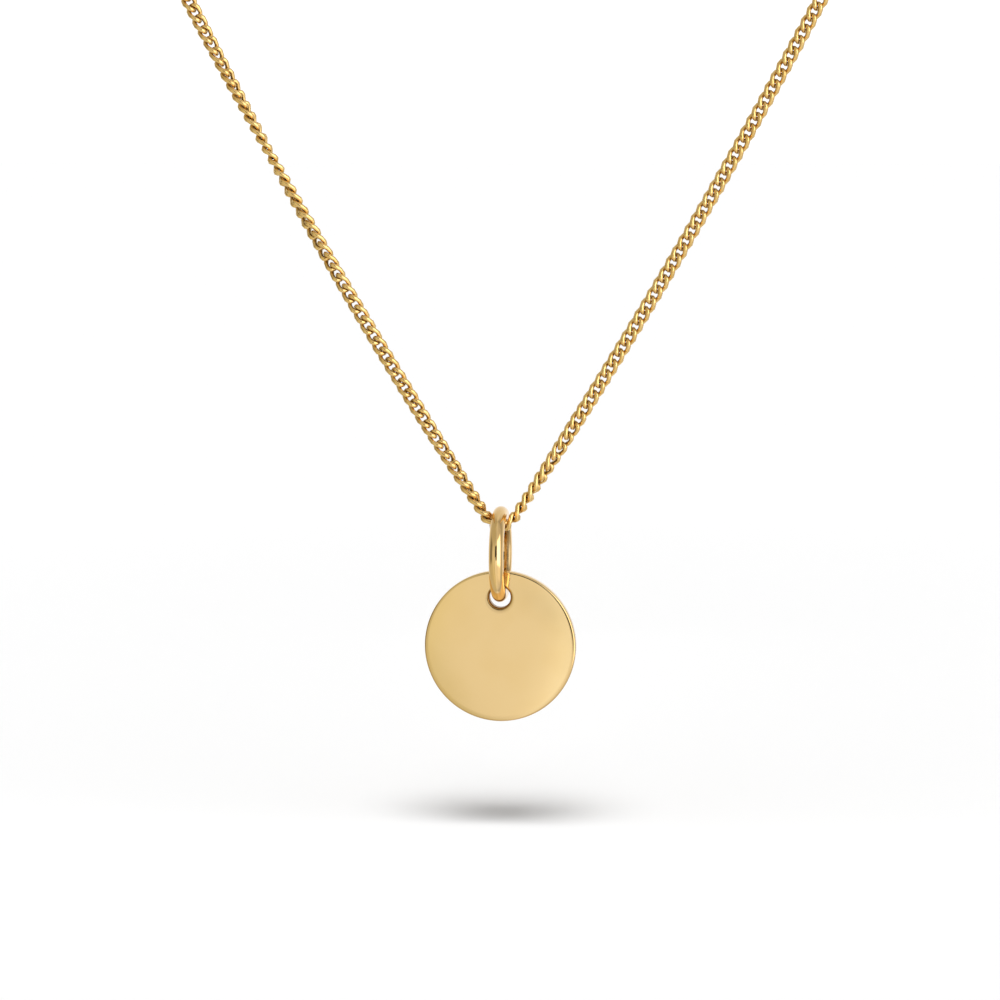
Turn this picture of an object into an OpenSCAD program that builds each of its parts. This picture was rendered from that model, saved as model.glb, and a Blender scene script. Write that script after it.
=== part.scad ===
// A plain round disc pendant on a jump ring, with the fine curb chain that
// carries it. Sizes are in millimetres. +Z is up and the disc faces -Y. The
// origin is the middle of the clasp, where the chain lies on the back of the
// neck.

/* [Disc] */
// Diameter of the disc
disc_d = 12.1; // [10:0.1:15]
// Thickness of the disc
disc_t = 1; // [0.8:0.05:1.3]
// Radius of the rounded rim
rim_r = 0.15; // [0.1:0.01:0.25]
// Radius of the rounded edge of the hole
hole_edge_r = 0.19; // [0.12:0.01:0.28]
// Metal between the hole and the rim
hole_margin = 1.25; // [1:0.05:1.8]
// Room in the hole beside the ring's wire
hole_play = 0.55; // [0.4:0.05:0.9]

/* [Jump ring] */
// Outer diameter of the jump ring
ring_d = 7.65; // [6.8:0.05:9]
// Wire diameter of the jump ring
ring_wire_d = 1.15; // [0.9:0.05:1.3]
// Gap where the ring rests on the chain, and the disc on the ring
seat_gap = 0.12; // [0.1:0.01:0.2]

/* [Loop] */
// Width of the chain's loop round the neck
loop_w = 112; // [100:1:124]
// Depth of the loop from the clasp to the pendant
loop_depth = 104; // [94:1:116]
// Height of the clasp above the chain's lowest point
loop_drop = 103; // [94:1:116]

/* [Chain] */
// Distance from one link to the next
link_pitch = 0.97; // [0.9:0.01:1.1]
// Wire diameter of the links
link_wire_d = 0.2; // [0.16:0.01:0.21]
// Inside width of a link
link_inner_w = 0.76; // [0.74:0.01:0.84]
// Slack between the ends of two linked links
link_slack = 0.35; // [0.33:0.01:0.38]
// Turn of each end of a link out of its flat
link_turn = 68; // [66:1:70]
// Links on each side of the lowest one, before the plain stretch begins
side_links = 54; // [46:1:58]
// Gap between the plain stretch and what it meets
end_gap = 0.15; // [0.1:0.05:0.3]

/* [Clasp] */
// Length of the clasp's barrel
clasp_len = 6; // [5:0.5:9]
// Diameter of the clasp's barrel
clasp_d = 2.4; // [2:0.1:3]
// Radius of the barrel's rounded ends
clasp_end_r = 0.5; // [0.3:0.1:0.8]
// Outer diameter of the eye at each end of the clasp
eye_d = 1.9; // [1.6:0.1:2.4]
// Wire diameter of the eyes
eye_wire_d = 0.45; // [0.4:0.05:0.6]

/* [Hidden] */

gold = [0.90, 0.74, 0.42];
chain_gold = [0.88, 0.66, 0.30];
round_fn = 96;
wire_fn = 32;

// Outline of a link: an oval of this power, with this many sides and wire sides
link_power = 2.2;
link_sides = 10;
wire_sides = 5;
link_reach = (link_pitch + link_wire_d + link_slack) / 2;
link_side = (link_inner_w + link_wire_d) / 2;
link_w = 2 * link_side + link_wire_d;

// Rounding of a cosine or sine into the oval's share of its half length or width
function share(v) = sign(v) * pow(abs(v), 2 / link_power);

// Centre line of a link along X, its ends turned opposite ways about X
link_line = [for (i = [0 : link_sides - 1])
    let (
        a = i * 360 / link_sides,
        x = link_reach * share(cos(a)),
        r = link_side * share(sin(a)),
        turn = -link_turn * x / link_reach
    )
    [x, r * cos(turn), r * sin(turn)]];
link_t = 2 * max([for (p = link_line) abs(p[2])]) + link_wire_d;

function unit(v) = v / norm(v);

// One ring of points round the wire for each point of the centre line
link_skin = [for (i = [0 : link_sides - 1])
    let (
        p = link_line[i],
        along = unit(link_line[(i + 1) % link_sides]
            - link_line[(i + link_sides - 1) % link_sides]),
        out = unit(p - (p * along) * along),
        side = cross(along, out)
    )
    [for (k = [0 : wire_sides - 1])
        let (b = k * 360 / wire_sides)
        p + link_wire_d / 2 * (cos(b) * out + sin(b) * side)]];

// The chain's route. Its lowest point is under the jump ring, where it bends
// round the ring's wire. From there each half runs along three cubic curves up
// one strand, over the side of the neck and round to the clasp. Each point
// after the bend is a share of the loop's half width, depth and drop. The left
// half mirrors the right.
low = [0, -loop_depth, -loop_drop];
strand_lean = 33.4;
strand_pull = 30;
bend_play = 0.15;
ROUTE = [
    [0.545, 1, 0.495], [0.75, 0.942, 0.272],
    [0.875, 0.908, 0.141], [1, 0.77, 0.05], [1, 0.52, 0.02],
    [1, 0.21, -0.011], [0.59, 0, 0]
];
right = [for (p = ROUTE) [p[0] * loop_w / 2, -p[1] * loop_depth, -p[2] * loop_drop]];

bend_r = ring_wire_d / 2 + seat_gap + link_t / 2 + bend_play;
bend_turn = 90 - strand_lean;
bend_step = 6;
curve_steps = 24;
lean_dir = [sin(strand_lean), 0, cos(strand_lean)];
bend_end = low + bend_r * [sin(bend_turn), 0, 1 - cos(bend_turn)];
eye_out = clasp_len / 2 + eye_d - eye_wire_d / 2;
route_end = [eye_out + end_gap, 0, 0];

function cubic(a, b, c, d, t) =
    pow(1 - t, 3) * a + 3 * pow(1 - t, 2) * t * b + 3 * (1 - t) * t * t * c + pow(t, 3) * d;

curves = [
    [bend_end, bend_end + strand_pull * lean_dir, right[0], right[1]],
    [right[1], right[2], right[3], right[4]],
    [right[4], right[5], right[6], route_end]
];
half = concat(
    [for (a = [0 : bend_step : bend_turn - bend_step / 2])
        low + bend_r * [sin(a), 0, 1 - cos(a)]],
    [for (c = curves, i = [0 : curve_steps - 1])
        cubic(c[0], c[1], c[2], c[3], i / curve_steps)],
    [route_end]
);

// Distance along the half route at each of its points, for the lookups
steps = [for (i = [1 : len(half) - 1]) norm(half[i] - half[i - 1])];
runs = [for (i = 0, s = 0; i < len(half); s = s + (i < len(steps) ? steps[i] : 0), i = i + 1) s];
half_len = runs[len(runs) - 1];
half_x = [for (i = [0 : len(half) - 1]) [runs[i], half[i][0]]];
half_y = [for (i = [0 : len(half) - 1]) [runs[i], half[i][1]]];
half_z = [for (i = [0 : len(half) - 1]) [runs[i], half[i][2]]];

// Point at a distance along the route, below zero on the left half
function at(s) = [
    (s < 0 ? -1 : 1) * lookup(abs(s), half_x),
    lookup(abs(s), half_y),
    lookup(abs(s), half_z)
];

// Turn of the chain's flat about its run: [distance from the ring, degrees].
// At 0 degrees the flat faces out from the neck, at 90 it shows its edge.
TWIST = [
    [-54, -180], [-37, -90], [-24, -20], [-12, 15], [-4, 70],
    [0, 90], [3, 95], [10, 160], [15, 180]
];

// Axes of the chain between two of its points: run, width and thickness
function axes(p, q, turn) =
    let (
        run = unit(q - p),
        out = unit([run[1], -run[0], 0]),
        across = cross(run, out)
    )
    [run, cos(turn) * across + sin(turn) * out, cos(turn) * out - sin(turn) * across];

// Points moved from a link's or section's own axes to their place on the route
function placed(points, centre, m) =
    [for (p = points) centre + p[0] * m[0] + p[1] * m[1] + p[2] * m[2]];

// Triangles between two rings of n points that start at indices a and b
function band(a, b, n) = [for (k = [0 : n - 1])
    let (l = (k + 1) % n)
    each [[a + k, b + l, b + k], [a + k, a + l, b + l]]];

joint_half = link_pitch / 2;
front_end = (2 * side_links + 1) * joint_half;
link_points = link_sides * wire_sides;

// Place and axes of link i, whose ends lie on the route half a pitch away
function link_skin_at(i) =
    let (
        p = at(i * link_pitch - joint_half),
        q = at(i * link_pitch + joint_half),
        m = axes(p, q, lookup(i * link_pitch, TWIST))
    )
    [for (ring = link_skin) each placed(ring, (p + q) / 2, m)];

// The plain stretch: an oval section as wide and thick as the links
section_sides = 8;
section = [for (k = [0 : section_sides - 1])
    let (a = (k + 0.5) * 360 / section_sides)
    [0, link_w / 2 * cos(a), link_t / 2 * sin(a)]];
plain_rings = 39;
plain_start = front_end + link_reach - joint_half + link_wire_d / 2 + end_gap;
plain_step = (half_len - plain_start) / plain_rings;

function plain_skin(first) = [for (i = [0 : plain_rings])
    let (
        s = first + i * plain_step,
        d = plain_step / 8
    )
    each placed(section, at(s), axes(at(s - d), at(s + d), lookup(s, TWIST)))];

plain_faces = [
    for (i = [0 : plain_rings - 1]) each band(i * section_sides, (i + 1) * section_sides, section_sides),
    [for (k = [section_sides - 1 : -1 : 0]) k],
    [for (k = [0 : section_sides - 1]) plain_rings * section_sides + k]
];

// Heights of the pendant's pieces, all hung from the chain's lowest point
ring_r = (ring_d - ring_wire_d) / 2;
ring_top_z = low[2] + link_t / 2 + seat_gap + ring_wire_d / 2;
ring_z = ring_top_z - ring_r;
hole_r = (ring_wire_d + hole_play) / 2;
hole_z = ring_z - ring_r + ring_wire_d / 2 + seat_gap - hole_r;
disc_z = hole_z + hole_r + hole_margin - disc_d / 2;

// A round plate along Z with rounded rims
module plate(d, t, r) {
    rotate_extrude($fn = round_fn) {
        translate([0, -t / 2 + r]) square([d / 2, t - 2 * r]);
        translate([0, -t / 2]) square([d / 2 - r, t]);
        for (z = [-1, 1]) translate([d / 2 - r, z * (t / 2 - r)])
            intersection() {
                circle(r, $fn = wire_fn);
                translate([0, -r]) square([r, 2 * r]);
            }
    }
}

// A hole along Z whose edges flare out in a quarter round
module flared_hole(r, t, e) {
    translate([0, 0, -t]) cylinder(h = 2 * t, r = r, $fn = round_fn);
    for (m = [0, 1]) mirror([0, 0, m]) translate([0, 0, t / 2 - e])
        rotate_extrude($fn = round_fn) difference() {
            translate([r / 2, 0]) square([r / 2 + e, 2 * e]);
            translate([r + e, 0]) circle(e, $fn = wire_fn);
        }
}

module wire_ring(r, wire_d) {
    rotate_extrude($fn = round_fn) translate([r, 0]) circle(d = wire_d, $fn = wire_fn);
}

module disc() {
    color(gold) translate([0, low[1], disc_z]) rotate([90, 0, 0]) difference() {
        plate(disc_d, disc_t, rim_r);
        translate([0, hole_z - disc_z, 0]) flared_hole(hole_r, disc_t, hole_edge_r);
    }
}

module jump_ring() {
    color(gold) translate([0, low[1], ring_z]) rotate([0, 90, 0])
        wire_ring(ring_r, ring_wire_d);
}

module chain_front() {
    color(chain_gold) polyhedron(
        points = [for (i = [-side_links : side_links]) each link_skin_at(i)],
        faces = [for (i = [0 : 2 * side_links], j = [0 : link_sides - 1])
            each band(i * link_points + j * wire_sides,
                i * link_points + (j + 1) % link_sides * wire_sides, wire_sides)]
    );
}

module chain_back() {
    color(chain_gold) for (first = [-half_len, plain_start])
        polyhedron(points = plain_skin(first), faces = plain_faces);
}

module clasp() {
    color(gold) {
        rotate([0, 90, 0]) plate(clasp_d, clasp_len, clasp_end_r);
        for (side = [-1, 1]) translate([side * (clasp_len + eye_d - eye_wire_d) / 2, 0, 0])
            wire_ring((eye_d - eye_wire_d) / 2, eye_wire_d);
    }
}

disc();
jump_ring();
chain_front();
chain_back();
clasp();
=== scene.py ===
import math

import bmesh
import bpy
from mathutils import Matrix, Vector


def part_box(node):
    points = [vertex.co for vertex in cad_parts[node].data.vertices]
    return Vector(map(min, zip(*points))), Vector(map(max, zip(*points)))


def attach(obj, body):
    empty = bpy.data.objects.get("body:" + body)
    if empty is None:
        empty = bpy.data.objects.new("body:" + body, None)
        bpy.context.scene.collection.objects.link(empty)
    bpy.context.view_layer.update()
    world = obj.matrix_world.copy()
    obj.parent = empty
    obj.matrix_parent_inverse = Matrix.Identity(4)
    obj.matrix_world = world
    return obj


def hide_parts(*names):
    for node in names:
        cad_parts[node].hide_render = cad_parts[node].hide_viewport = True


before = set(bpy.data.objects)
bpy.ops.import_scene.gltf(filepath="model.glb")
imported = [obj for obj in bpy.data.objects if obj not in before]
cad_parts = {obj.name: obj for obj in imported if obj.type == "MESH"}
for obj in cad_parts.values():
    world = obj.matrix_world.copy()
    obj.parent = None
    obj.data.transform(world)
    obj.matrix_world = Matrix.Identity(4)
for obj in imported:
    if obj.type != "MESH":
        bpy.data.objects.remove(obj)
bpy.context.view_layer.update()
scene = bpy.context.scene
mm = 0.001


def middleOf(node):
    low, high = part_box(node)
    return (low + high) / 2


discMiddle = middleOf("disc")
ringMiddle = middleOf("jump_ring")
print("frame loaded, disc at", [round(v / mm, 2) for v in discMiddle])


# Camera. It stands a little to the right of the disc and looks slightly down.

cameraView = {
    "azimuth": 6.4,  # degrees to the right of the disc's front
    "elevation": 6.2,  # degrees up
    "distance": 280 * mm,
    "frameWidth": 79.48 * mm,  # what the picture's width shows at that distance
    "aim": (-0.065 * mm, 0.22 * mm, 4.30 * mm),  # from the jump ring's middle
    "nearest": 10 * mm,
    "farthest": 20000 * mm,
}


def addCamera(view):
    turn, tilt = math.radians(view["azimuth"]), math.radians(view["elevation"])
    back = Vector((math.sin(turn) * math.cos(tilt), -math.cos(turn) * math.cos(tilt), math.sin(tilt)))
    lens = bpy.data.cameras.new("productCamera")
    lens.sensor_fit = "HORIZONTAL"
    lens.angle = 2 * math.atan(view["frameWidth"] / 2 / view["distance"])
    lens.clip_start = view["nearest"]
    lens.clip_end = view["farthest"]
    camera = bpy.data.objects.new("productCamera", lens)
    scene.collection.objects.link(camera)
    camera.location = ringMiddle + Vector(view["aim"]) + back * view["distance"]
    camera.rotation_euler = back.to_track_quat("Z", "Y").to_euler()
    scene.camera = camera


addCamera(cameraView)


# Studio. Polished gold shows what stands round it, so the world holds the
# studio's walls as light and dark areas, and the camera sees plain white.

studio = {
    "floorDrop": 8.58 * mm,
    "floorSize": 8000 * mm,
    "floorColor": (0.93, 0.93, 0.93, 1),
    "lightStrength": 1.745,
    "lightTilt": 22,  # degrees from straight down, from the front
    "lightTurns": (-5, 14),  # side by side, so the light is wider than high
    "lightAngle": 40,  # degrees that each light spans, for a soft shadow
    "skyForFloor": 0.05,
    "whiteForCamera": 1.1,
}

# Degrees round from the way the disc faces, positive to the right, and brightness
wallBands = [
    (-180, 1.00), (-150, 0.95), (-125, 0.72), (-108, 0.62), (-50, 0.70), (-32, 0.86), (-14, 0.70),
    (-10.8, 0.86), (-8.6, 0.895), (-6.4, 0.885), (-4.6, 0.89), (-2.4, 1.05), (2, 1.00), (20, 0.95),
    (85, 0.72), (102, 0.50), (116, 0.60), (132, 0.90), (155, 1.05), (180, 1.00),
]
# Degrees round and the walls' tint, warmer on the left
untinted = (1, 1, 1, 1)
wallTints = [
    (-180, untinted), (-60, (1, 0.98, 0.80, 1)), (-12, (1, 0.99, 0.82, 1)), (-9.5, (1, 1, 0.88, 1)),
    (-8, untinted), (-4.5, untinted), (-2.6, (1, 1.06, 1.15, 1)), (2, untinted), (180, untinted),
]
# Degrees up, and share of the wall's brightness
heightBands = [
    (-90, 0.90), (-50, 1.0), (-25, 0.97), (-10, 1.0), (5, 1.0), (30, 0.84), (60, 0.76), (90, 0.80),
]
# Screens and lamps before the walls: from, to, low, high, softness (degrees), brightness
wallPatches = [
    (-110, 10, 28, 64, 12, 0.54),  # dim upper left
    (-100, -58, -12, 24, 7, 0.24),  # olive screen on the left
    (34, 82, -50, -14, 9, 1.05),  # glow under the window
    (24, 78, -18, 37, 5, 2.50),  # window light on the right
    (-20, -8.4, -22, -9.0, 1.5, 0.75),  # seen in the disc's lower left
    (-4.2, 0, -30, -6.5, 1.5, 1.08),  # seen in its lower right
    (-5.6, -3.0, -7.6, -5.6, 1.0, 0.76),  # seen in its upper right
    (0, 19, -8, 26, 2, 0.07),  # the dark round the camera
    (-10, 20, -1, 26, 2, 0.05),
]


def linkNodes(tree, pairs):
    for source, target in pairs:
        tree.links.new(source, target)


def mathNode(tree, operation, *values):
    node = tree.nodes.new("ShaderNodeMath")
    node.operation = operation
    for socket, value in zip(node.inputs, values):
        if isinstance(value, bpy.types.NodeSocket):
            tree.links.new(value, socket)
        else:
            socket.default_value = value
    return node.outputs[0]


def smoothStep(tree, value, low, high):
    node = tree.nodes.new("ShaderNodeMapRange")
    node.interpolation_type = "SMOOTHSTEP"
    node.inputs["From Min"].default_value = low
    node.inputs["From Max"].default_value = high
    tree.links.new(value, node.inputs["Value"])
    return node.outputs[0]


def mixColor(tree, factor, first, second):
    mix = tree.nodes.new("ShaderNodeMix")
    mix.data_type = "RGBA"
    tree.links.new(factor, mix.inputs["Factor"])
    for name, value in (("A", first), ("B", second)):
        if isinstance(value, bpy.types.NodeSocket):
            tree.links.new(value, mix.inputs[name])
        else:
            mix.inputs[name].default_value = value
    return mix.outputs["Result"]


def degreeRamp(tree, degrees, span, stops):
    # The ramp's middle is 0 degrees, and a stop is a brightness or a colour
    ramp = tree.nodes.new("ShaderNodeValToRGB")
    tree.links.new(mathNode(tree, "MULTIPLY_ADD", degrees, 1 / span, 0.5), ramp.inputs[0])
    elements = ramp.color_ramp.elements
    while len(elements) < len(stops):
        elements.new(0.5)
    for element, (place, value) in zip(elements, stops):
        element.position = place / span + 0.5
        element.color = value if isinstance(value, tuple) else (value, value, value, 1)
    return ramp.outputs["Color"]


def addPatch(tree, light, bearing, height, patch):
    left, right, low, high, soft, brightness = patch
    edges = [smoothStep(tree, bearing, left - soft, left + soft),
             smoothStep(tree, bearing, right + soft, right - soft),
             smoothStep(tree, height, low - soft, low + soft),
             smoothStep(tree, height, high + soft, high - soft)]
    cover = edges[0]
    for edge in edges[1:]:
        cover = mathNode(tree, "MULTIPLY", cover, edge)
    change = mathNode(tree, "SUBTRACT", brightness, light)
    return mathNode(tree, "MULTIPLY_ADD", cover, change, light)


def buildWorld(look):
    world = bpy.data.worlds.new("studioWalls")
    scene.world = world
    world.use_nodes = True
    tree = world.node_tree
    tree.nodes.clear()
    direction = tree.nodes.new("ShaderNodeTexCoord")
    split = tree.nodes.new("ShaderNodeSeparateXYZ")
    tree.links.new(direction.outputs["Generated"], split.inputs[0])
    facing = mathNode(tree, "MULTIPLY", split.outputs["Y"], -1.0)
    perRadian = math.degrees(1)
    bearing = mathNode(tree, "MULTIPLY", mathNode(tree, "ARCTAN2", split.outputs["X"], facing), perRadian)
    height = mathNode(tree, "MULTIPLY", mathNode(tree, "ARCSINE", split.outputs["Z"]), perRadian)
    light = mathNode(tree, "MULTIPLY", degreeRamp(tree, bearing, 360, wallBands),
                     degreeRamp(tree, height, 180, heightBands))
    for patch in wallPatches:
        light = addPatch(tree, light, bearing, height, patch)

    # Gold sees the walls, the camera sees white, and the floor gets an even sky
    path = tree.nodes.new("ShaderNodeLightPath")
    notGold = mathNode(tree, "SUBTRACT", 1.0, path.outputs["Is Glossy Ray"])
    plain = mathNode(tree, "MULTIPLY_ADD", path.outputs["Is Camera Ray"],
                     look["whiteForCamera"] - look["skyForFloor"], look["skyForFloor"])
    forGold = mathNode(tree, "MULTIPLY", light, path.outputs["Is Glossy Ray"])
    strength = mathNode(tree, "MULTIPLY_ADD", plain, notGold, forGold)
    tints = degreeRamp(tree, bearing, 360, wallTints)
    tint = mixColor(tree, path.outputs["Is Glossy Ray"], untinted, tints)
    background = tree.nodes.new("ShaderNodeBackground")
    output = tree.nodes.new("ShaderNodeOutputWorld")
    linkNodes(tree, [(tint, background.inputs["Color"]), (strength, background.inputs["Strength"]),
                     (background.outputs[0], output.inputs["Surface"])])


def addKeyLight(look):
    sun = bpy.data.lights.new("keyLight", "SUN")
    sun.energy = look["lightStrength"]
    sun.angle = math.radians(look["lightAngle"])
    for turn in look["lightTurns"]:
        light = bpy.data.objects.new("keyLight", sun)
        light.rotation_euler = (math.radians(look["lightTilt"]), 0, math.radians(turn))
        light.visible_glossy = False
        scene.collection.objects.link(light)


def addFloor(look):
    half = look["floorSize"] / 2
    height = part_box("disc")[0].z - look["floorDrop"]
    mesh = bpy.data.meshes.new("studioFloor")
    mesh.from_pydata([(-half, -half, height), (half, -half, height), (half, half, height),
                      (-half, half, height)], [], [(0, 1, 2, 3)])
    floor = bpy.data.objects.new("studioFloor", mesh)
    scene.collection.objects.link(floor)
    floor.visible_glossy = False
    paint = bpy.data.materials.new("floorWhite")
    paint.use_nodes = True
    shader = paint.node_tree.nodes["Principled BSDF"]
    shader.inputs["Base Color"].default_value = look["floorColor"]
    shader.inputs["Roughness"].default_value = 1.0
    shader.inputs["Specular IOR Level"].default_value = 0.0
    mesh.materials.append(paint)


buildWorld(studio)
addKeyLight(studio)
addFloor(studio)
scene.view_settings.view_transform = "Standard"
print("camera, lights and floor set")


# Gold. Each piece has its own alloy colour, polish and fine wear. Painted shade
# makes it darker and duller where its shade attribute marks a sheltered face.

discGold = {
    "color": (0.920, 0.660, 0.314, 1),
    "deepColor": (0.900, 0.635, 0.285, 1),
    # painted shade: the colour and roughness used where a face is marked as sheltered
    "paintedShadeColor": (0.360, 0.210, 0.070, 1),
    "cloudSize": 260,
    "roughness": (0.070, 0.120),
    "paintedShadeRoughness": 0.30,
    "smudgeSize": 420,
    "scratch": 0.0005 * mm,
}
ringGold = {
    "color": (0.900, 0.620, 0.285, 1),
    "deepColor": (0.860, 0.575, 0.240, 1),
    # painted shade: the colour and roughness used where a face is marked as sheltered
    "paintedShadeColor": (0.340, 0.240, 0.120, 1),
    "cloudSize": 500,
    "roughness": (0.070, 0.130),
    "paintedShadeRoughness": 0.36,
    "smudgeSize": 900,
    "scratch": 0.0010 * mm,
}
chainGold = {
    "color": (0.920, 0.630, 0.250, 1),
    "deepColor": (0.840, 0.540, 0.180, 1),
    # painted shade: the colour and roughness used where a face is marked as sheltered
    "paintedShadeColor": (0.085, 0.042, 0.006, 1),
    "cloudSize": 900,
    "roughness": (0.200, 0.290),
    "paintedShadeRoughness": 0.40,
    "smudgeSize": 1500,
    "scratch": 0.0012 * mm,
}
# The same on every piece: which part of the noise turns to the deep colour, how
# finely each pattern breaks up, and how much finer scratches are than smudges
goldPattern = {
    "cloudRange": (0.30, 0.60),
    "cloudDetail": 2,
    "smudgeDetail": 4,
    "scratchDetail": 3,
    "scratchPerSmudge": 4,
}


def addNoise(tree, point, size, detail):
    noise = tree.nodes.new("ShaderNodeTexNoise")
    noise.inputs["Scale"].default_value = size
    noise.inputs["Detail"].default_value = detail
    tree.links.new(point, noise.inputs["Vector"])
    return noise.outputs["Fac"]


def addGold(name, gold):
    material = bpy.data.materials.new(name)
    material.use_nodes = True
    tree = material.node_tree
    shader = tree.nodes["Principled BSDF"]
    shader.inputs["Metallic"].default_value = 1.0
    point = tree.nodes.new("ShaderNodeTexCoord").outputs["Object"]
    # Painted shade: the marked share of each face turns to the shade colour and duller
    shadeMark = tree.nodes.new("ShaderNodeAttribute")
    shadeMark.attribute_name = "paintedShade"
    paintedShade = shadeMark.outputs["Fac"]

    cloud = tree.nodes.new("ShaderNodeMapRange")
    cloud.inputs["From Min"].default_value = goldPattern["cloudRange"][0]
    cloud.inputs["From Max"].default_value = goldPattern["cloudRange"][1]
    clouds = addNoise(tree, point, gold["cloudSize"], goldPattern["cloudDetail"])
    tree.links.new(clouds, cloud.inputs["Value"])
    tint = mixColor(tree, cloud.outputs[0], gold["deepColor"], gold["color"])
    tree.links.new(mixColor(tree, paintedShade, tint, gold["paintedShadeColor"]), shader.inputs["Base Color"])

    polish = tree.nodes.new("ShaderNodeMapRange")
    polish.inputs["To Min"].default_value = gold["roughness"][0]
    polish.inputs["To Max"].default_value = gold["roughness"][1]
    smudges = addNoise(tree, point, gold["smudgeSize"], goldPattern["smudgeDetail"])
    tree.links.new(smudges, polish.inputs["Value"])
    duller = mathNode(tree, "MULTIPLY", paintedShade, gold["paintedShadeRoughness"])
    tree.links.new(mathNode(tree, "MAXIMUM", polish.outputs[0], duller), shader.inputs["Roughness"])

    bump = tree.nodes.new("ShaderNodeBump")
    bump.inputs["Distance"].default_value = gold["scratch"]
    scratchSize = gold["smudgeSize"] * goldPattern["scratchPerSmudge"]
    scratches = addNoise(tree, point, scratchSize, goldPattern["scratchDetail"])
    linkNodes(tree, [(scratches, bump.inputs["Height"]), (bump.outputs[0], shader.inputs["Normal"])])
    return material


# Stores each vertex's share of painted shade, from the given rule
def markPaintedShade(mesh, rule):
    marks = mesh.attributes.new("paintedShade", "FLOAT", "POINT")
    marks.data.foreach_set("value", [rule(vertex.co, vertex.normal) for vertex in mesh.vertices])


def ease(value, low, high):
    # 0 up to low and 1 from high, softly between, or the reverse if low is the higher
    share = min(max((value - low) / (high - low), 0), 1)
    return share * share * (3 - 2 * share)


discMaterial = addGold("polishedDiscGold", discGold)
ringMaterial = addGold("polishedRingGold", ringGold)
chainMaterial = addGold("chainWireGold", chainGold)
print("gold finishes made")


# Disc: a punched plate with a hole near its top. Its face swells very slightly
# towards the middle, so the rim shows other parts of the studio than the middle.

discPlate = {
    "diameter": 12.1 * mm,
    "thickness": 1.0 * mm,
    "rimRound": 0.15 * mm,
    "holeRadius": 0.85 * mm,
    "holeMargin": 1.25 * mm,  # from the hole to the disc's top
    "holeRound": 0.19 * mm,
    "edgeDrop": 0.050 * mm,  # how much lower each face is at the rim
    "swellPower": 4,
    "segments": 192,
    "faceLoops": 28,
    "roundLoops": 7,
    # Painted shade darkens the hole's rounded edge and the rim, less at the rim's top
    "holeShadeFade": (0.02 * mm, -0.03 * mm),  # where the painted shade round the hole starts and is full, from the hole's edge
    "rimShadeFade": (1.2, 0.8),  # the same for the painted shade at the rim, in rim rounds
    "rimShade": 0.42,
    "unshadedTopHeight": (0.3, 0.9),  # the rim's top is painted lighter, with less shade, from here up, in radii
    "unshadedTop": 0.8,
}


def addPiece(name, mesh, material, body, replaced):
    piece = bpy.data.objects.new(name, mesh)
    scene.collection.objects.link(piece)
    mesh.materials.clear()
    mesh.materials.append(material)
    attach(piece, body)
    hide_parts(*replaced)


def finishMesh(bm, name):
    bmesh.ops.recalc_face_normals(bm, faces=bm.faces)
    for face in bm.faces:
        face.smooth = True
    mesh = bpy.data.meshes.new(name)
    bm.to_mesh(mesh)
    bm.free()
    return mesh


def bridgeLoops(bm, first, second):
    for k in range(len(first)):
        after = (k + 1) % len(first)
        bm.faces.new((first[k], first[after], second[after], second[k]))


def discSection(plate):
    # One side's loops from the middle of the hole's wall to the middle of the
    # rim: share of the way from hole to rim, distance in from that edge, depth
    steps, holeRound, rimRound = plate["roundLoops"], plate["holeRound"], plate["rimRound"]
    arc = [math.pi / 2 * i / steps for i in range(steps + 1)]
    hole = [(0, holeRound * (1 - math.cos(a)), holeRound * (1 - math.sin(a))) for a in arc]
    rim = [(1, rimRound * (1 - math.sin(a)), rimRound * (1 - math.cos(a))) for a in arc]
    face = [(i / plate["faceLoops"], 0, 0) for i in range(1, plate["faceLoops"])]
    return hole + face + rim


def buildDisc(plate, middle):
    bm = bmesh.new()
    radius, count = plate["diameter"] / 2, plate["segments"]
    hole = Vector((0, 0, radius - plate["holeMargin"] - plate["holeRadius"]))
    holeEdge = plate["holeRadius"] + plate["holeRound"]

    def pointAt(across, share, inset):
        if share == 0:
            return hole + across * (plate["holeRadius"] + inset)
        if share == 1:
            return across * (radius - inset)
        return (hole + across * holeEdge).lerp(across * (radius - plate["rimRound"]), share)

    def addLoop(side, share, inset, depth):
        loop = []
        for k in range(count):
            a = 2 * math.pi * k / count
            place = pointAt(Vector((math.sin(a), 0, math.cos(a))), share, inset)
            fall = plate["edgeDrop"] * min(place.length / radius, 1) ** plate["swellPower"]
            place.y = side * (plate["thickness"] / 2 - fall - depth)
            loop.append(bm.verts.new(middle + place))
        return loop

    front, back = [[addLoop(side, *row) for row in discSection(plate)] for side in (-1, 1)]
    loops = front + back[::-1]
    for first, second in zip(loops, loops[1:] + loops[:1]):
        bridgeLoops(bm, first, second)
    mesh = finishMesh(bm, "discPlate")

    # Painted shade round the hole and along the rim, lighter at the rim's top
    def shadeAtEdges(place, normal):
        fromHole = (place - middle - hole).xz.length - holeEdge
        fromRim = (radius - (place - middle).xz.length) / plate["rimRound"]
        unshadedTop = plate["unshadedTop"] * ease((place.z - middle.z) / radius, *plate["unshadedTopHeight"])
        shadeAtRim = ease(fromRim, *plate["rimShadeFade"]) * plate["rimShade"] * (1 - unshadedTop)
        return max(ease(fromHole, *plate["holeShadeFade"]), shadeAtRim)

    markPaintedShade(mesh, shadeAtEdges)
    return mesh


discMesh = buildDisc(discPlate, discMiddle)
addPiece("discPlate", discMesh, discMaterial, "disc", ["disc"])
print("disc plate built,", len(discMesh.polygons), "faces")


# Jump ring: one closed ring of wire, round outside and nearly flat inside.

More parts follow.
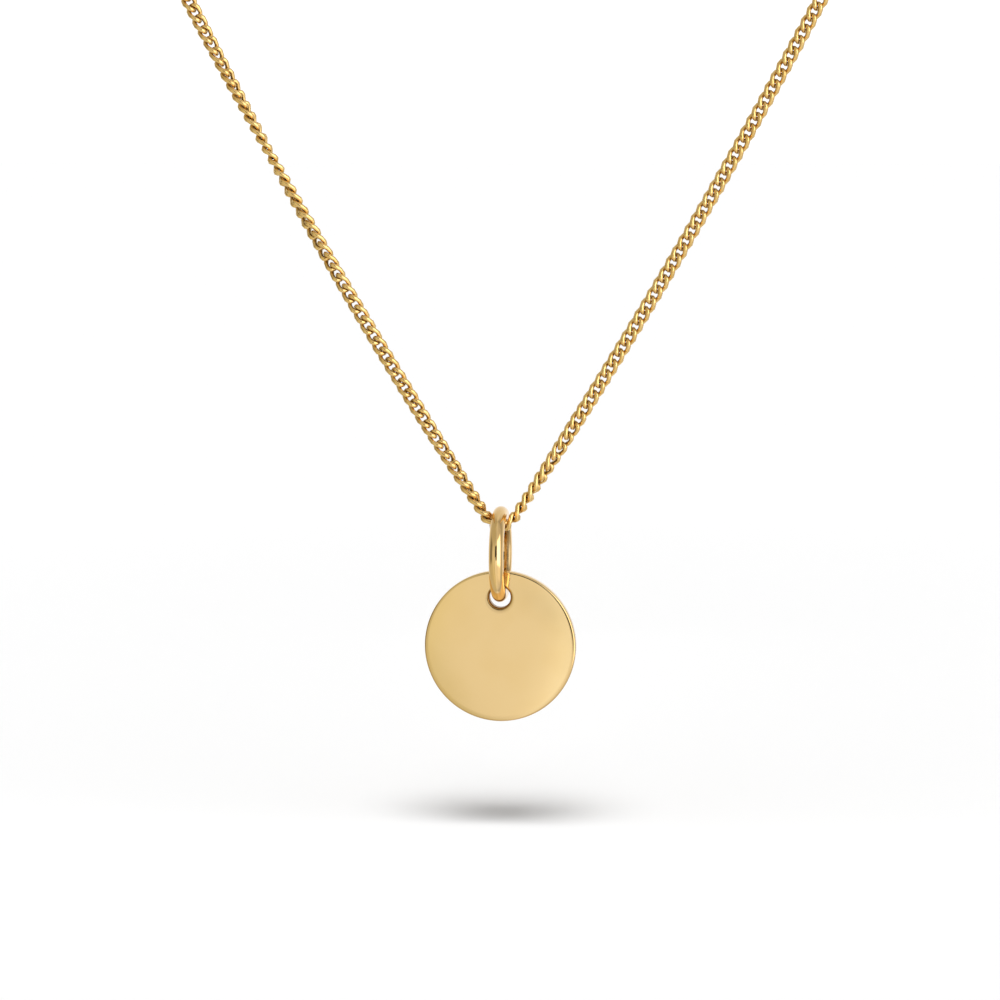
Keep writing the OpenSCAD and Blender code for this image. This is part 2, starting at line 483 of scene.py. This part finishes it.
jumpRing = {
    "diameter": 7.65 * mm,
    "wire": 1.15 * mm,
    "innerDepth": 0.52 * mm,  # of the wire's inner half
    "innerPower": 3.5,  # 2 is round, and more is flatter
    "segments": 144,
    "wireSegments": 40,
    "shadeLineStart": (0.25, 0.45),  # where each line of painted shade starts and is full, in half wires from the middle
    "shadeLineEnd": (0.90, 0.70),  # where it ends and was last full
    "shadeLineBack": (-0.3, 0.3),  # how far to the back it starts and is full, in radii
    "shadeLineInner": (0.3, 0.7),  # how squarely the wire's skin has to face the ring's middle
}


def wireSection(wire, count, innerDepth=None, innerPower=2):
    # Offsets outward and aside. The inner half may be shallower and squarer.
    section = []
    for k in range(count):
        out, aside = math.cos(2 * math.pi * k / count), math.sin(2 * math.pi * k / count)
        if out < 0 and innerDepth:
            share = 2 / innerPower
            aside = math.copysign(abs(aside) ** share, aside)
            section.append((-innerDepth * abs(out) ** share, aside * wire / 2))
        else:
            section.append((out * wire / 2, aside * wire / 2))
    return section


def addTorus(bm, middle, across, up, radius, section, segments):
    side = across.cross(up)
    rings = []
    for i in range(segments):
        a = 2 * math.pi * i / segments
        out = math.cos(a) * up + math.sin(a) * side
        rings.append([bm.verts.new(middle + out * (radius + x) + across * y) for x, y in section])
    for first, second in zip(rings, rings[1:] + rings[:1]):
        bridgeLoops(bm, first, second)


def buildRing(ring, middle):
    bm = bmesh.new()
    section = wireSection(ring["wire"], ring["wireSegments"], ring["innerDepth"], ring["innerPower"])
    addTorus(bm, middle, Vector((1, 0, 0)), Vector((0, 0, 1)), (ring["diameter"] - ring["wire"]) / 2,
             section, ring["segments"])
    mesh = finishMesh(bm, "jumpRing")

    # Painted shade: two darker, duller lines run round the back of the inner side, either side of its
    # middle
    def shadeBesideMiddle(place, normal):
        outward = Vector((0, place.y - middle.y, place.z - middle.z)).normalized()
        aside = abs(place.x - middle.x) / (ring["wire"] / 2)
        line = ease(aside, *ring["shadeLineStart"]) * ease(aside, *ring["shadeLineEnd"])
        return line * ease(outward.y, *ring["shadeLineBack"]) * ease(-normal.dot(outward), *ring["shadeLineInner"])

    markPaintedShade(mesh, shadeBesideMiddle)
    return mesh


addPiece("jumpRing", buildRing(jumpRing, ringMiddle), ringMaterial, "ring", ["jump_ring"])
print("jump ring built")


# Chain route, as in the part's source: a bend under the ring's top, then three
# cubic curves up one strand, over the side of the neck and round to the clasp.
# The left half mirrors the right.

chainRoute = {
    "width": 112 * mm,
    "depth": 104 * mm,
    "drop": 103 * mm,
    "bendRadius": 1.19 * mm,
    "lean": 33.4,  # degrees of each strand from upright, above the bend
    "pull": 30 * mm,
    # Points of the right half, as shares of the half width, the depth and the drop
    "shares": [(0.545, 1, 0.495), (0.75, 0.942, 0.272), (0.875, 0.908, 0.141), (1, 0.77, 0.05),
               (1, 0.52, 0.02), (1, 0.21, -0.011), (0.59, 0, 0)],
    "end": (4.0 * mm, 0, 0),
    # Millimetres along from the lowest link, positive to the right, and degrees of turn
    "twist": [(-54, -180), (-37, -90), (-24, -20), (-12, 15), (-4, 70), (0, 90), (3, 95), (10, 160),
              (15, 180)],
    "bendSteps": 12,
    "curveSteps": 120,
}


def cubicPoint(a, b, c, d, t):
    return (1 - t) ** 3 * a + 3 * (1 - t) ** 2 * t * b + 3 * (1 - t) * t * t * c + t ** 3 * d


def halfRoute(route):
    low = Vector((0, -route["depth"], -route["drop"]))
    lean, steps = math.radians(route["lean"]), route["bendSteps"]
    turns = [(math.pi / 2 - lean) * i / steps for i in range(steps + 1)]
    arc = [low + route["bendRadius"] * Vector((math.sin(a), 0, 1 - math.cos(a))) for a in turns]
    right = [Vector((x * route["width"] / 2, -y * route["depth"], -z * route["drop"]))
             for x, y, z in route["shares"]]
    pulled = arc[-1] + route["pull"] * Vector((math.sin(lean), 0, math.cos(lean)))
    end = Vector(route["end"])
    points, steps = arc[:-1], route["curveSteps"]
    for curve in ((arc[-1], pulled, right[0], right[1]), right[1:5], (*right[4:7], end)):
        points += [cubicPoint(*curve, i / steps) for i in range(steps)]
    return points + [end]


def twistAt(table, place):
    if place <= table[0][0]:
        return table[0][1]
    for (a, u), (b, v) in zip(table, table[1:]):
        if place <= b:
            return u + (v - u) * (place - a) / (b - a)
    return table[-1][1]


def addRoute(route):
    half = halfRoute(route)
    run = [0.0]
    for a, b in zip(half, half[1:]):
        run.append(run[-1] + (b - a).length)
    whole = [Vector((-p.x, p.y, p.z)) for p in reversed(half[1:])] + half
    places = [-s for s in reversed(run[1:])] + run
    curve = bpy.data.curves.new("chainRoute", "CURVE")
    curve.dimensions = "3D"
    curve.twist_mode = "Z_UP"
    spline = curve.splines.new("POLY")
    spline.points.add(len(whole) - 1)
    for point, place, s in zip(spline.points, whole, places):
        point.co = (*place, 1)
        point.tilt = -math.radians(twistAt(route["twist"], s / mm))
    routeObject = bpy.data.objects.new("chainRoute", curve)
    scene.collection.objects.link(routeObject)
    return routeObject, run[-1]


routeObject, halfLength = addRoute(chainRoute)
print("chain route, half length", round(halfLength / mm, 2), "mm")


# Chain links: curb links of round wire, each an oval whose ends turn opposite ways.

curbLink = {
    "pitch": 0.97 * mm,
    "wire": 0.38 * mm,
    "innerWidth": 0.50 * mm,
    "slack": 0.045 * mm,
    "endTurn": -65,  # degrees
    "ovalPower": 3.0,  # 2 is a plain oval, and more is squarer
    "sides": 16,
    "wireSides": 6,
    "facingShade": (0.2, 0.95),  # painted shade by how squarely the wire faces the link's middle, none to full
    # how dark the painted shade is where the links cross
    "crossingShade": 0.55,
    "crossingShadeWidth": (0.85, 0.25),  # where links cross, painted shade in half widths from the centre line, none to full
    "loose": 2.5,  # degrees
    "seed": 4,
}
linkInputs = [
    ("Links", "Int"), ("First Link", "Int"), ("Middle", "Float"), ("Pitch", "Float"), ("Wire", "Float"),
    ("Reach", "Float"), ("Side", "Float"), ("End Turn", "Float"), ("Oval Power", "Float"),
    ("Sides", "Int"), ("Wire Sides", "Int"), ("Crossing Shade", "Float"), ("Loose", "Float"),
    ("Seed", "Int"), ("Material", "Material"),
]


def buildLinkTree(link):
    tree = bpy.data.node_groups.new("curbChain", "GeometryNodeTree")
    inputs = {}
    tree.interface.new_socket("Geometry", in_out="INPUT", socket_type="NodeSocketGeometry")
    for name, kind in linkInputs:
        socket = tree.interface.new_socket(name, in_out="INPUT", socket_type="NodeSocket" + kind)
        inputs[name] = socket.identifier
    tree.interface.new_socket("Geometry", in_out="OUTPUT", socket_type="NodeSocketGeometry")
    nodes, links = tree.nodes, tree.links
    given = nodes.new("NodeGroupInput").outputs
    output = nodes.new("NodeGroupOutput")

    def join(socket, value):
        if isinstance(value, bpy.types.NodeSocket):
            links.new(value, socket)
        else:
            socket.default_value = value

    def calc(operation, *values):
        return mathNode(tree, operation, *values)

    def vectorCalc(operation, *values):
        node = nodes.new("ShaderNodeVectorMath")
        node.operation = operation
        for socket, value in zip(node.inputs, values):
            join(socket, value)
        return node.outputs["Value" if operation == "DOT_PRODUCT" else "Vector"]

    def circle(points, radius):
        node = nodes.new("GeometryNodeCurvePrimitiveCircle")
        join(node.inputs["Resolution"], points)
        join(node.inputs["Radius"], radius)
        return node.outputs["Curve"]

    # One link: a unit circle pulled into an oval, its ends turned about X
    place = nodes.new("ShaderNodeSeparateXYZ")
    links.new(nodes.new("GeometryNodeInputPosition").outputs[0], place.inputs[0])
    power = calc("DIVIDE", 2.0, given["Oval Power"])

    def share(value):
        return calc("MULTIPLY", calc("SIGN", value), calc("POWER", calc("ABSOLUTE", value), power))

    along = share(place.outputs["X"])
    aside = calc("MULTIPLY", share(place.outputs["Y"]), given["Side"])
    turn = calc("MULTIPLY", along, given["End Turn"])
    combine = nodes.new("ShaderNodeCombineXYZ")
    join(combine.inputs["X"], calc("MULTIPLY", along, given["Reach"]))
    join(combine.inputs["Y"], calc("MULTIPLY", aside, calc("COSINE", turn)))
    join(combine.inputs["Z"], calc("MULTIPLY", aside, calc("SINE", turn)))
    oval = nodes.new("GeometryNodeSetPosition")
    links.new(circle(given["Sides"], 1.0), oval.inputs["Geometry"])
    links.new(combine.outputs[0], oval.inputs["Position"])
    wire = nodes.new("GeometryNodeCurveToMesh")
    links.new(oval.outputs[0], wire.inputs["Curve"])
    wireRadius = calc("MULTIPLY", given["Wire"], 0.5)
    links.new(circle(given["Wire Sides"], wireRadius), wire.inputs["Profile Curve"])
    smooth = nodes.new("GeometryNodeSetShadeSmooth")
    links.new(wire.outputs[0], smooth.inputs[0])

    # The side of the wire that faces the link's own middle gets painted shade,
    # and so, more faintly, do the ends, which cross on the chain's centre line
    here = nodes.new("GeometryNodeInputPosition").outputs[0]
    inward = vectorCalc("MULTIPLY", vectorCalc("NORMALIZE", here), (-1, -1, -1))
    facing = vectorCalc("DOT_PRODUCT", nodes.new("GeometryNodeInputNormal").outputs[0], inward)
    spot = nodes.new("ShaderNodeSeparateXYZ")
    links.new(here, spot.inputs[0])
    fromLine = calc("SQRT", calc("MULTIPLY_ADD", spot.outputs["Y"], spot.outputs["Y"],
                                 calc("MULTIPLY", spot.outputs["Z"], spot.outputs["Z"])))
    crossing = smoothStep(tree, calc("DIVIDE", fromLine, given["Side"]), *link["crossingShadeWidth"])
    shadeMark = nodes.new("GeometryNodeStoreNamedAttribute")
    shadeMark.data_type = "FLOAT"
    shadeMark.domain = "POINT"
    shadeMark.inputs["Name"].default_value = "paintedShade"
    links.new(smooth.outputs[0], shadeMark.inputs["Geometry"])
    sheltered = smoothStep(tree, facing, *link["facingShade"])
    crossed = calc("MULTIPLY", crossing, given["Crossing Shade"])
    links.new(calc("MAXIMUM", sheltered, crossed), shadeMark.inputs["Value"])

    # Its place: the ends lie on the route half a pitch before and after it
    number = calc("ADD", nodes.new("GeometryNodeInputIndex").outputs[0], given["First Link"])
    run = calc("MULTIPLY_ADD", number, given["Pitch"], given["Middle"])
    halfPitch = calc("MULTIPLY", given["Pitch"], 0.5)

    def sample(length):
        node = nodes.new("GeometryNodeSampleCurve")
        node.mode = "LENGTH"
        node.use_all_curves = True
        links.new(given["Geometry"], node.inputs["Curves"])
        join(node.inputs["Length"], length)
        return node.outputs

    start = sample(calc("SUBTRACT", run, halfPitch))["Position"]
    end = sample(calc("ADD", run, halfPitch))["Position"]
    normal = sample(run)["Normal"]
    between = vectorCalc("MULTIPLY", vectorCalc("ADD", start, end), (0.5, 0.5, 0.5))
    points = nodes.new("GeometryNodePoints")
    links.new(given["Links"], points.inputs["Count"])
    links.new(between, points.inputs["Position"])
    first = nodes.new("FunctionNodeAlignRotationToVector")
    first.axis = "X"
    join(first.inputs["Vector"], vectorCalc("SUBTRACT", end, start))
    second = nodes.new("FunctionNodeAlignRotationToVector")
    second.axis = "Z"
    second.pivot_axis = "X"
    links.new(first.outputs[0], second.inputs["Rotation"])
    links.new(normal, second.inputs["Vector"])
    instances = nodes.new("GeometryNodeInstanceOnPoints")
    links.new(points.outputs[0], instances.inputs["Points"])
    links.new(shadeMark.outputs[0], instances.inputs["Instance"])
    links.new(second.outputs[0], instances.inputs["Rotation"])

    # Each link sits a little loose in the next
    wobble = nodes.new("FunctionNodeRandomValue")
    wobble.data_type = "FLOAT"
    join(wobble.inputs[2], calc("MULTIPLY", given["Loose"], -1.0))
    join(wobble.inputs[3], given["Loose"])
    join(wobble.inputs["Seed"], given["Seed"])
    axisTurn = nodes.new("ShaderNodeCombineXYZ")
    links.new(wobble.outputs[1], axisTurn.inputs["X"])
    loosen = nodes.new("GeometryNodeRotateInstances")
    links.new(instances.outputs[0], loosen.inputs["Instances"])
    links.new(axisTurn.outputs[0], loosen.inputs["Rotation"])

    realize = nodes.new("GeometryNodeRealizeInstances")
    finish = nodes.new("GeometryNodeSetMaterial")
    links.new(loosen.outputs[0], realize.inputs[0])
    links.new(realize.outputs[0], finish.inputs["Geometry"])
    links.new(given["Material"], finish.inputs["Material"])
    links.new(finish.outputs[0], output.inputs[0])
    return tree, inputs


def buildChain(link, route, middle, first, count):
    tree, inputs = buildLinkTree(link)
    modifier = route.modifiers.new("curbChain", "NODES")
    modifier.node_group = tree
    settings = {
        "Links": count,
        "First Link": first,
        "Middle": middle,
        "Pitch": link["pitch"],
        "Wire": link["wire"],
        "Reach": (link["pitch"] + link["wire"] + link["slack"]) / 2,
        "Side": (link["innerWidth"] + link["wire"]) / 2,
        "End Turn": math.radians(link["endTurn"]),
        "Oval Power": link["ovalPower"],
        "Sides": link["sides"],
        "Wire Sides": link["wireSides"],
        "Crossing Shade": link["crossingShade"],
        "Loose": math.radians(link["loose"]),
        "Seed": link["seed"],
        "Material": chainMaterial,
    }
    for name, value in settings.items():
        modifier[inputs[name]] = value
    graph = bpy.context.evaluated_depsgraph_get()
    mesh = bpy.data.meshes.new_from_object(route.evaluated_get(graph), depsgraph=graph)
    mesh.name = "chainLinks"
    bpy.data.objects.remove(route)
    return mesh


linksEachSide = int(halfLength / curbLink["pitch"])
linkCount = 2 * linksEachSide + 1
chainMesh = buildChain(curbLink, routeObject, halfLength, -linksEachSide, linkCount)
addPiece("chainLinks", chainMesh, chainMaterial, "chain", ["chain_front", "chain_back"])
print("chain built,", linkCount, "links,", len(chainMesh.polygons), "faces")


# Clasp: a plain barrel with a wire eye at each end.

barrelClasp = {
    "length": 6 * mm,
    "diameter": 2.4 * mm,
    "endRound": 0.5 * mm,
    "eye": 1.9 * mm,
    "eyeWire": 0.45 * mm,
    "segments": 64,
    "roundLoops": 8,
    "eyeSegments": 40,
    "eyeWireSegments": 14,
}


def buildClasp(clasp):
    bm = bmesh.new()
    radius, half, soft = clasp["diameter"] / 2, clasp["length"] / 2, clasp["endRound"]
    steps, count = clasp["roundLoops"], clasp["segments"]
    turns = [math.pi / 2 * i / steps for i in range(steps + 1)]
    arc = [(half - soft + soft * math.sin(a), radius - soft + soft * math.cos(a)) for a in turns]
    around = [2 * math.pi * k / count for k in range(count)]
    rings = []
    for x, r in [(-x, r) for x, r in reversed(arc)] + arc:
        rings.append([bm.verts.new((x, r * math.cos(a), r * math.sin(a))) for a in around])
    for first, second in zip(rings, rings[1:]):
        bridgeLoops(bm, first, second)
    bm.faces.new(rings[0])
    bm.faces.new(rings[-1])
    eyeRadius = (clasp["eye"] - clasp["eyeWire"]) / 2
    eyeSection = wireSection(clasp["eyeWire"], clasp["eyeWireSegments"])
    for side in (-1, 1):
        addTorus(bm, Vector((side * (half + eyeRadius), 0, 0)), Vector((0, 0, 1)), Vector((1, 0, 0)),
                 eyeRadius, eyeSection, clasp["eyeSegments"])
    return finishMesh(bm, "barrelClasp")


claspMaterial = addGold("claspGold", ringGold)
addPiece("barrelClasp", buildClasp(barrelClasp), claspMaterial, "chain", ["clasp"])
print("clasp built")
